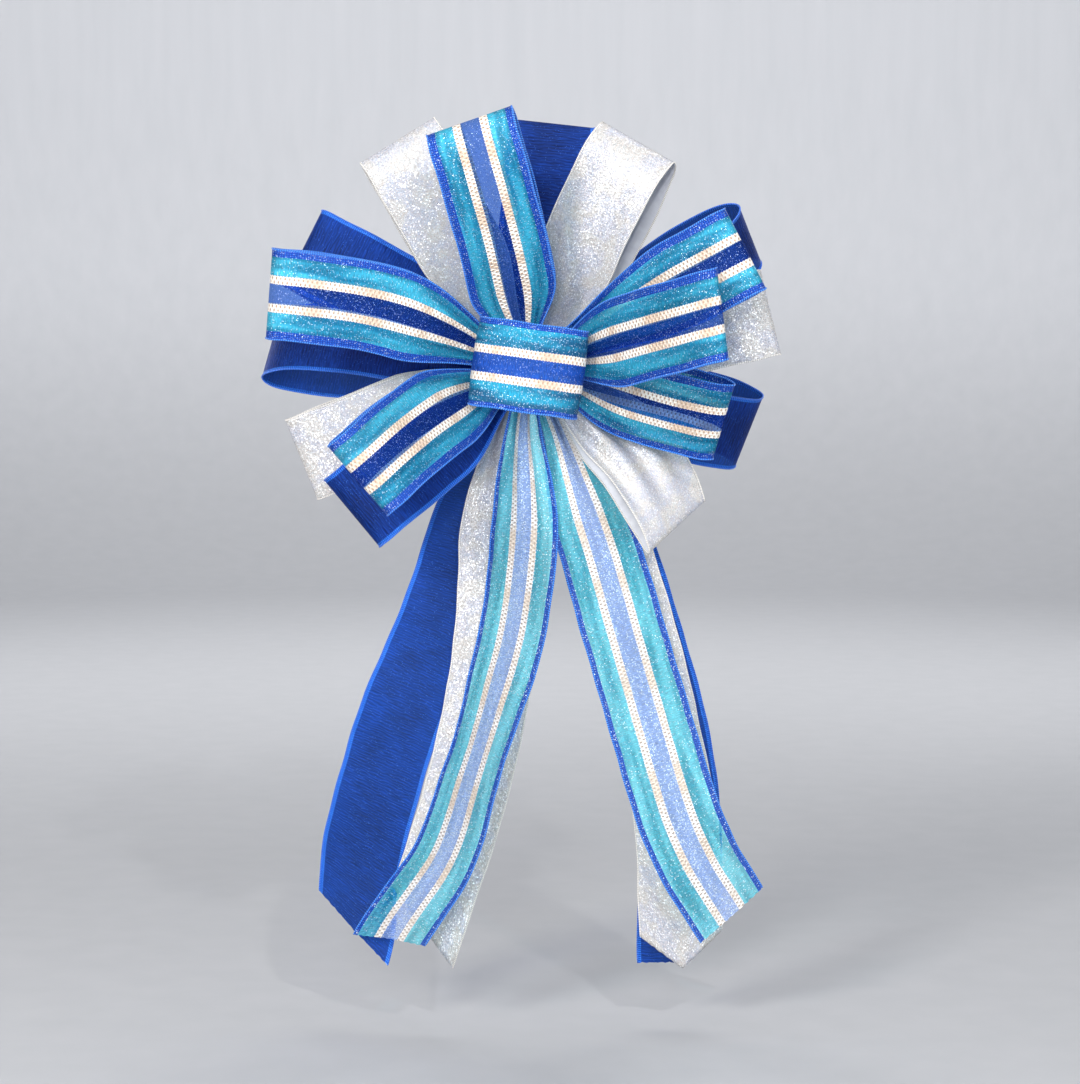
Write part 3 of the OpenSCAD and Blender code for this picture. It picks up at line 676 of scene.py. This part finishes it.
# The loops' knit: its thread, its holes in painted shade, and the golden painted shade away from its sheen
LOOP_KNITS = (rgb(252, 246, 236), rgb(176, 142, 118), rgb(208, 176, 148))
STRIPED = {
    "loop": striped_cloth(
        "striped_ribbon_cloth", covers=(0.24, 0.58), tints=(rgb(186, 212, 252), rgb(176, 236, 248)),
        teals=(rgb(4, 128, 168), rgb(66, 194, 226)), knits=LOOP_KNITS, glints=(0.5, 0.85), flakes=2.1),
    # The centre loop's copy: its darker teals and weaker glints are painted shade for the middle of the bow
    "centre": striped_cloth(
        "striped_centre_cloth_painted_shade", covers=(0.66, 0.85), tints=(rgb(150, 186, 244), rgb(150, 220, 240)),
        teals=(rgb(0, 86, 130), rgb(22, 146, 182)), knits=LOOP_KNITS, glints=(0.3, 0.85), flakes=2.1,
        band_start=16.7),
    # The tails' copy: the lighter blue middle, lighter teals and full glints are painted light, which stands
    # for the lit white ribbon seen through the sheer cloth
    "tail": striped_cloth(
        "striped_tail_cloth", covers=(0.5, 0.46), tints=(rgb(236, 242, 255), rgb(190, 246, 255)),
        teals=(rgb(40, 178, 202), rgb(118, 224, 242)),
        knits=(rgb(246, 244, 242), rgb(158, 146, 136), rgb(214, 196, 176)), glints=(1.0, 1.0), flakes=1.6,
        blue=rgb(150, 184, 250), clusters=0.5, band_start=16.4, metal=0.0),
}
BLUE, WHITE, WHITE_BACK = blue_cloth(), white_cloth(), white_back()
BLUE_EDGE = wrapped_wire("blue_edge_thread", rgb(8, 50, 170), rgb(60, 140, 250), 0.8, 0.3)
STRIPED_EDGE = wrapped_wire("striped_edge_thread", rgb(6, 52, 168), rgb(70, 156, 246), 1.0, 0.3)
WHITE_EDGE = wrapped_wire("white_edge_thread", rgb(196, 192, 186), rgb(248, 244, 238), 0.8, 0.4)
WIRE_COVER = wrapped_wire("tie_wire_thread", *TIE_WIRE_GREENS, TIE_WIRE_PITCH, 0.6)
EDGE_OF = {"striped": STRIPED_EDGE, "white": WHITE_EDGE, "blue": BLUE_EDGE}


# ---------------------------------------------------------------- the ribbons

def build_ribbon(name, body, kind, grid):
    """A length of ribbon on a body: its cloth, as a sheet, and the wires along its two edges."""
    if kind == "white":
        cloth = thick_sheet(name + "_cloth", grid, WHITE, WHITE_BACK)
    else:
        part = "centre" if name == "centre_loop" else name.split("_")[1]
        cloth = thin_sheet(name + "_cloth", grid, STRIPED[part] if kind == "striped" else BLUE)
    wires = [tube(f"{name}_wire_{side}", grid[:, column], WIRE_R, EDGE_OF[kind])
             for side, column in (("a", 0), ("b", -1))]
    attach(cloth, body)
    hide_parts(name)
    for wire in wires:
        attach(wire, body)
        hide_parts(name + "_edge_wires")


def waist(kind, back_y, front_y, material):
    """The gathered part of a ribbon inside the tie: many soft uneven pleats round the bundle."""
    rows, around, wide_pleats, fine_pleats = 25, 145, 9, 17
    rounded, end_share = 0.7, 0.86
    f = phases(kind + "waist", 8)
    y = np.linspace(back_y, front_y, rows)[:, None]
    angle = np.linspace(0, 2 * np.pi, around)[None, :]
    drift = 0.35 * np.sin(y * 0.5 + TURN * f[0]) + 0.2 * np.sin(y * 1.1 + TURN * f[1])
    pleat = (0.55 * np.abs(np.sin(wide_pleats * (angle + 0.1 * drift) + TURN * f[2])) +
             0.25 * np.abs(np.sin(fine_pleats * angle + TURN * f[3] + drift)))
    r = WAIST_R - 0.35 + 0.6 * pleat + 0.1 * np.sin(3 * angle + y)
    end = np.clip(np.minimum(np.abs(y - back_y), np.abs(y - front_y)) / rounded, 0, 1)
    r = r * (end_share + (1 - end_share) * np.sqrt(end))
    grid = np.stack([r * np.cos(angle), np.broadcast_to(y, r.shape), r * np.sin(angle)], axis=-1)
    faces = grid_faces(rows, around).tolist()
    u = 0.5 + 0.5 * np.sin(3.5 * angle + TURN * f[4])
    v = np.abs(y - back_y) / RIBBON_W
    uv = np.stack(np.broadcast_arrays(u, v), axis=-1).reshape(-1, 2)
    corners = uv[np.asarray(faces).ravel()].tolist()
    verts = grid.reshape(-1, 3)
    for row in (0, rows - 1):
        ring = [row * around + j for j in range(around - 1)]
        if row:
            ring = ring[::-1]
        faces.append(ring)
        corners += [tuple(uv[k]) for k in ring]
    obj = add_mesh(kind + "_waist_gathers", verts, faces, corners, [material])
    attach(obj, "tied_middle")
    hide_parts(kind + "_waist")


waist("blue", 0.0, -10.0, BLUE)
waist("white", -10.0, -18.5, WHITE)
waist("striped", -18.5, -35.0, STRIPED["loop"])

for loop in LOOPS:
    kind = "striped" if loop == "centre_loop" else loop.split("_")[0]
    body = "tied_middle" if loop == "centre_loop" else loop
    build_ribbon(loop, body, kind, loop_grid(loop))
for tail in TAILS:
    build_ribbon(tail, tail, tail.split("_")[0], tail_grid(tail))

# The tie wire keeps its CAD shape; its two free ends are made again with slight bends and a rounded end
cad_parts["tie_wire"].data.materials.clear()
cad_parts["tie_wire"].data.materials.append(wire_on_cad())
END_LENGTH, END_LEAN, END_X, END_Y = 40, math.radians(32), 0.7, 9.4
for side, label in ((-1, "left"), (1, "right")):
    n = np.linspace(0, 1, 41)
    run, freed = END_LENGTH * n, smooth(n / 0.3)
    sway = 0.9 * np.sin(2.6 * math.pi * n) * freed
    path = np.stack([side * (END_X + run * math.sin(END_LEAN)) + side * sway * math.cos(END_LEAN),
                     END_Y + run * math.cos(END_LEAN) - sway * math.sin(END_LEAN),
                     0.7 * np.sin(2.1 * math.pi * n + side) * freed], axis=-1)
    end = tube(f"tie_wire_end_{label}_cover", path, TIE_WIRE_R, WIRE_COVER, sides=12)
    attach(end, f"tie_wire_end_{label}")
    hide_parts(f"tie_wire_end_{label}")


# ---------------------------------------------------------------- stage, light and camera

def stage_material():
    """Plain pale ground, painted a little darker on the floor than up the wall: painted shade at the foot of
    the backdrop.
    """
    s = Shader("studio_floor")
    place = s.node("ShaderNodeTexCoord").outputs["Object"]
    px, py, pz = s.split(place)
    fine = s.noise(s.mul(px, 40.0), s.mul(py, 40.0), 3.0)
    colour = s.mix(fine, rgb(212, 214, 218), rgb(220, 221, 225))
    s.set(Base_Color=s.tint(colour, s.step(pz, -0.3, 0.2, 0.72, 1.0)), Roughness=0.8)
    return s.mat


def bowl():
    """A pale floor that curves up into a wall all round, so that every side has the same plain ground."""
    around, flat_r, curve_r, wall, floor_z = 96, 2.4, 0.9, 2.6, -0.3
    hole_r = 0.00002
    profile = [(hole_r, 0.0)] + [(r, 0.0) for r in np.linspace(0.2, flat_r, 10)]
    profile += [(flat_r + curve_r * math.sin(q), curve_r * (1 - math.cos(q)))
                for q in np.linspace(0.1, math.pi / 2, 12)]
    profile += [(flat_r + curve_r, z) for z in np.linspace(curve_r + 0.1, wall, 8)]
    grid = np.array([[(r * math.cos(q), r * math.sin(q), z + floor_z)
                      for q in np.linspace(0, 2 * math.pi, around + 1)] for r, z in profile])
    faces = grid_faces(len(profile), around + 1, flip=True)
    uv = np.zeros((len(grid.reshape(-1, 3)), 2))
    obj = add_mesh("studio_bowl", grid.reshape(-1, 3) / MM, faces, uv[faces.ravel()], [stage_material()])


def area_light(name, place, aim, size, power, colour=(1, 1, 1)):
    """A round soft light, aimed from its place at a point. Sizes are in metres and powers in watts."""
    data = bpy.data.lights.new(name, "AREA")
    data.shape, data.size, data.energy, data.color = "DISK", size, power, colour
    obj = bpy.data.objects.new(name, data)
    bpy.context.scene.collection.objects.link(obj)
    obj.location = place
    obj.rotation_euler = (Vector(aim) - Vector(place)).to_track_quat("-Z", "Y").to_euler()


bowl()
area_light("key", (-0.75, -1.3, 0.55), (0, 0, -0.06), 0.35, 15, (1.0, 0.98, 0.95))
area_light("fill", (1.25, -1.25, 0.0), (0, 0, -0.05), 0.7, 9, (0.95, 0.98, 1.0))
area_light("top", (0.1, 0.2, 1.5), (0, 0, 0), 0.9, 7)
area_light("back_left", (-1.1, 1.3, 0.7), (0, 0, -0.05), 0.8, 5)
area_light("back_right", (1.1, 1.3, 0.7), (0, 0, -0.05), 0.8, 5)
area_light("sparkle", (0.3, -1.3, 0.7), (0, 0, -0.05), 0.05, 5)
area_light("front", (-0.2, -1.5, 0.25), (0, 0, -0.12), 0.4, 10)
area_light("wall_wash", (0, 1.3, 1.3), (0, 3.3, 0.2), 1.4, 24)
area_light("front_wash", (0, -1.6, 1.3), (0, -3.2, 0.25), 1.4, 4)

world = bpy.data.worlds.new("studio_world")
bpy.context.scene.world = world
world.use_nodes = True
world.node_tree.nodes["Background"].inputs["Color"].default_value = (0.93, 0.95, 1.0, 1.0)
world.node_tree.nodes["Background"].inputs["Strength"].default_value = 0.26

# The camera is level with the tie, 1.2 m in front of it, and looks down a little
CAMERA_PLACE, LOOKS_DOWN, LENS, SENSOR_W = (0.0049, -1.2, 0.0), math.radians(3.704), 89.27, 36
camera = bpy.data.cameras.new("camera")
camera.sensor_width = SENSOR_W
camera.lens = LENS
camera_object = bpy.data.objects.new("camera", camera)
bpy.context.scene.collection.objects.link(camera_object)
camera_object.location = CAMERA_PLACE
camera_object.rotation_euler = (math.radians(90) - LOOKS_DOWN, 0, 0)
bpy.context.scene.camera = camera_object

# Enough see-through steps for a ray to pass every sheer layer of the bow
SHEER_STEPS = 24
bpy.context.scene.view_settings.view_transform = "Standard"
bpy.context.scene.cycles.transparent_max_bounces = SHEER_STEPS
